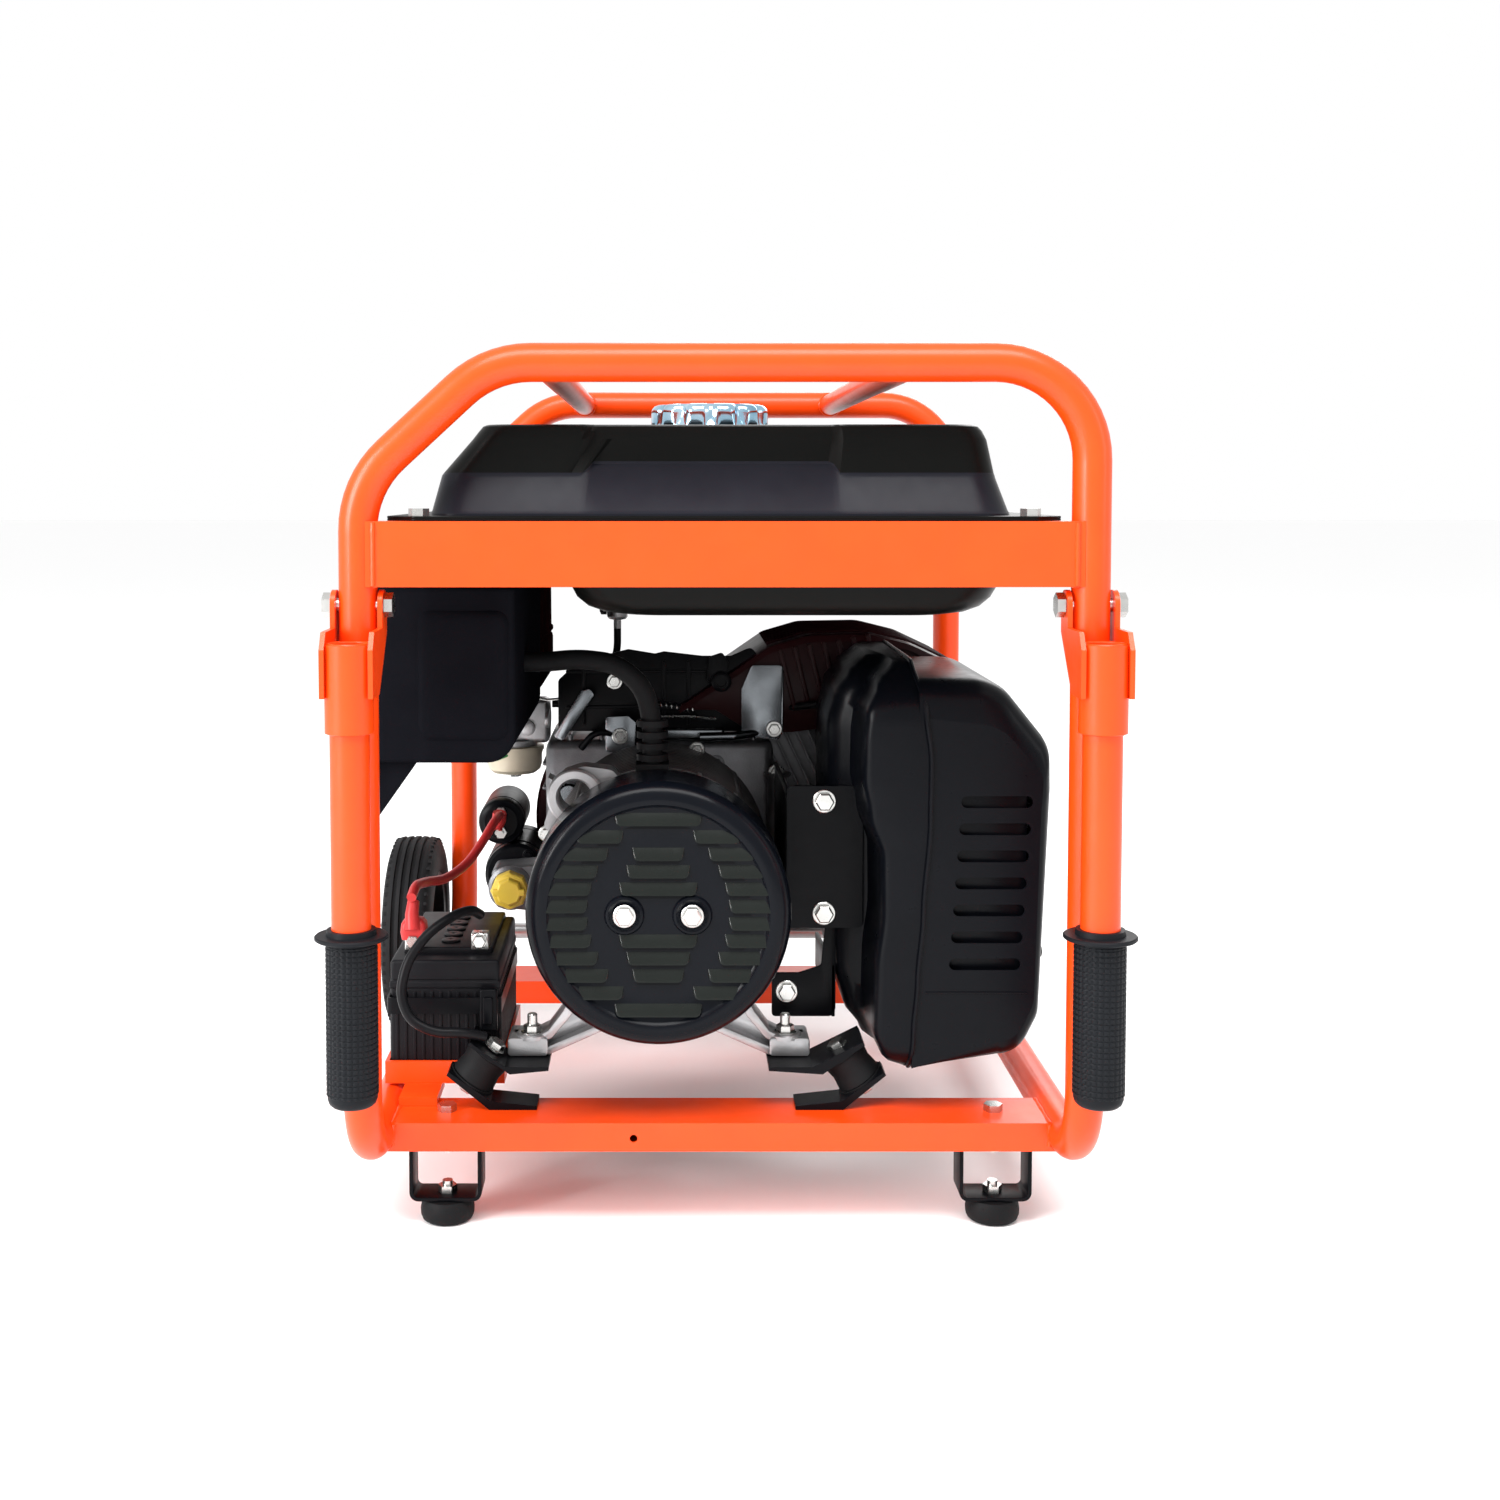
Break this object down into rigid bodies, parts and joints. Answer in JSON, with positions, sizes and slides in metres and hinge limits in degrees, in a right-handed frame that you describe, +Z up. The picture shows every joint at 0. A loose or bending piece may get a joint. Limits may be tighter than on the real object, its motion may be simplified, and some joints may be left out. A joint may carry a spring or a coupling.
{
  "type": "portable generator",
  "caption": "Open-frame petrol generator in a tube cradle with a top fuel tank, fan-cooled alternator, side muffler, wheels and fold-down lift handles.",
  "frame": {"origin": "on the ground, under the middle of the whole machine", "axes": "+Z up, -Y towards the alternator end with the lift handles, +Y towards the wheels, +X towards the muffler"},
  "size_m": [0.69, 0.759, 0.674],
  "materials": {
    "frame_paint": "gloss",
    "black_paint": "satin",
    "tank_paint": "satin",
    "exhaust_paint": "matte",
    "shroud_paint": "gloss",
    "engine_paint": "satin",
    "zinc": "satin",
    "axle_steel": "satin",
    "core_steel": "satin",
    "crank_iron": "satin",
    "cast_aluminium": "satin",
    "cap_chrome": "polished",
    "rubber_black": "matte",
    "grip_rubber": "matte",
    "tyre_rubber": "matte",
    "cable_black": "satin",
    "cable_red": "satin",
    "battery_plastic": "matte",
    "panel_plastic": "matte",
    "cap_plastic": "satin",
    "socket_plastic": "satin",
    "key_steel": "satin"
  },
  "bodies": {
    "frame": {"front_hoop": "frame_paint", "rear_hoop": "frame_paint", "top_cross_tubes": "frame_paint", "upper_crossbars": "frame_paint", "lower_crossbars": "frame_paint", "foot_brackets": "black_paint", "rubber_feet": "rubber_black", "frame_bolts": "zinc", "axle_brackets": "frame_paint", "wheel_axle": "axle_steel", "handle_pivot_bolts": "zinc", "fuel_tank_upper": "tank_paint", "fuel_tank_lower": "tank_paint", "fuel_valve": "cast_aluminium", "alternator_cover": "black_paint", "alternator_end_bell": "cast_aluminium", "alternator_stator": "core_steel", "rubber_mounts": "rubber_black", "mount_brackets": "black_paint", "crankcase": "cast_aluminium", "cylinder_head": "engine_paint", "blower_housing": "shroud_paint", "recoil_housing": "shroud_paint", "air_cleaner": "panel_plastic", "carburettor": "cast_aluminium", "starter_motor": "black_paint", "starter_solenoid": "black_paint", "muffler_body": "exhaust_paint", "muffler_heat_shield": "exhaust_paint", "muffler_bracket": "black_paint", "engine_bolts": "zinc", "battery_tray": "frame_paint", "battery_case": "battery_plastic", "battery_strap": "black_paint", "battery_cable_positive": "cable_red", "battery_cable_negative": "cable_black", "control_box": "panel_plastic", "control_panel": "black_paint", "sockets": "socket_plastic", "fuel_hose": "cable_black", "cable_conduit": "rubber_black"},
    "handle_left": {"handle_left_clevis": "frame_paint", "handle_left_tube": "frame_paint", "handle_left_grip": "grip_rubber"},
    "handle_right": {"handle_right_clevis": "frame_paint", "handle_right_tube": "frame_paint", "handle_right_grip": "grip_rubber"},
    "wheel_left": {"wheel_left_rim": "black_paint", "wheel_left_tyre": "tyre_rubber"},
    "wheel_right": {"wheel_right_rim": "black_paint", "wheel_right_tyre": "tyre_rubber"},
    "crank": {"alternator_rotor": "core_steel", "crankshaft": "crank_iron", "flywheel": "crank_iron"},
    "fuel_cap": {"fuel_cap": "cap_chrome"},
    "valve_lever": {"fuel_valve_lever": "panel_plastic"},
    "starter_grip": {"recoil_grip": "panel_plastic"},
    "oil_cap": {"oil_filler_cap": "cap_plastic"},
    "key": {"key_switch": "key_steel"},
    "breaker": {"circuit_breaker": "socket_plastic"}
  },
  "joints": [
    {"name": "handle_left_fold", "type": "hinge", "parent": "frame", "child": "handle_left", "pos_m": [-0.264, -0.3125, 0.486], "axis": [-1, 0, 0], "range_deg": [0, 90]},
    {"name": "handle_right_fold", "type": "hinge", "parent": "frame", "child": "handle_right", "pos_m": [0.264, -0.3125, 0.486], "axis": [-1, 0, 0], "range_deg": [0, 90]},
    {"name": "wheel_left_spin", "type": "hinge", "parent": "frame", "child": "wheel_left", "pos_m": [-0.307, 0.2795, 0.1], "axis": [1, 0, 0], "continuous": true},
    {"name": "wheel_right_spin", "type": "hinge", "parent": "frame", "child": "wheel_right", "pos_m": [0.307, 0.2795, 0.1], "axis": [1, 0, 0], "continuous": true},
    {"name": "crank_spin", "type": "hinge", "parent": "frame", "child": "crank", "pos_m": [-0.048, 0, 0.249], "axis": [0, 1, 0], "continuous": true},
    {"name": "fuel_cap_turn", "type": "hinge", "parent": "frame", "child": "fuel_cap", "pos_m": [-0.007, -0.1425, 0.625], "axis": [0, 0, 1], "range_deg": [0, 90]},
    {"name": "fuel_valve_turn", "type": "hinge", "parent": "frame", "child": "valve_lever", "pos_m": [-0.101, 0.0825, 0.458], "axis": [1, 0, 0], "range_deg": [0, 90]},
    {"name": "starter_pull", "type": "slide", "parent": "frame", "child": "starter_grip", "axis": [-1, 0, 0], "range_m": [0, 0.08]},
    {"name": "oil_cap_turn", "type": "hinge", "parent": "frame", "child": "oil_cap", "pos_m": [-0.182, -0.0125, 0.211], "axis": [0, -1, 0], "range_deg": [0, 360]},
    {"name": "key_turn", "type": "hinge", "parent": "frame", "child": "key", "pos_m": [-0.275, -0.2125, 0.455], "axis": [-1, 0, 0], "range_deg": [0, 90]},
    {"name": "breaker_toggle", "type": "hinge", "parent": "frame", "child": "breaker", "pos_m": [-0.267, -0.1625, 0.455], "axis": [0, 1, 0], "range_deg": [-20, 20]}
  ]
}
